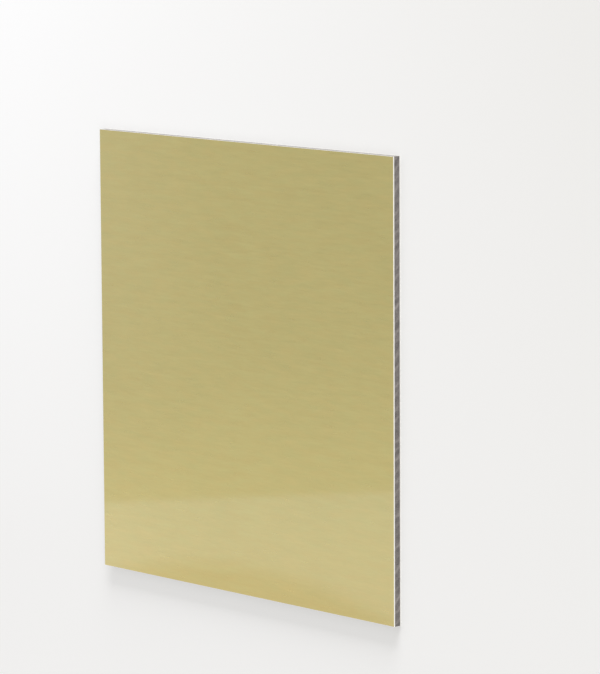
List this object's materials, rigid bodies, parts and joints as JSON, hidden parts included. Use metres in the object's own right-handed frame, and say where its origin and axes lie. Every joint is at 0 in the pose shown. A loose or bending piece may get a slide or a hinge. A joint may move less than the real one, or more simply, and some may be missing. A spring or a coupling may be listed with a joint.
{
  "type": "aluminium composite panel",
  "caption": "Flat square-cut panel: a brushed gold aluminium front sheet and a plain rear sheet bonded to a dark polyethylene core.",
  "frame": {"origin": "centre of the underside, which is the rear cover sheet's outer face", "axes": "+X along the width, to the right in the picture; +Y up the height of the brushed face; +Z out of the brushed face"},
  "size_m": [0.19, 0.2, 0.004],
  "materials": {
    "front_cover": "brushed along the width under a clear gold-tinted lacquer, cut edges bare and bright",
    "core": "dark grey polyethylene, sawn edges with slanted saw marks",
    "rear_cover": "plain mill finish"
  },
  "bodies": {
    "root": {"front_cover_sheet": "front_cover", "polyethylene_core": "core", "rear_cover_sheet": "rear_cover"}
  },
  "joints": []
}
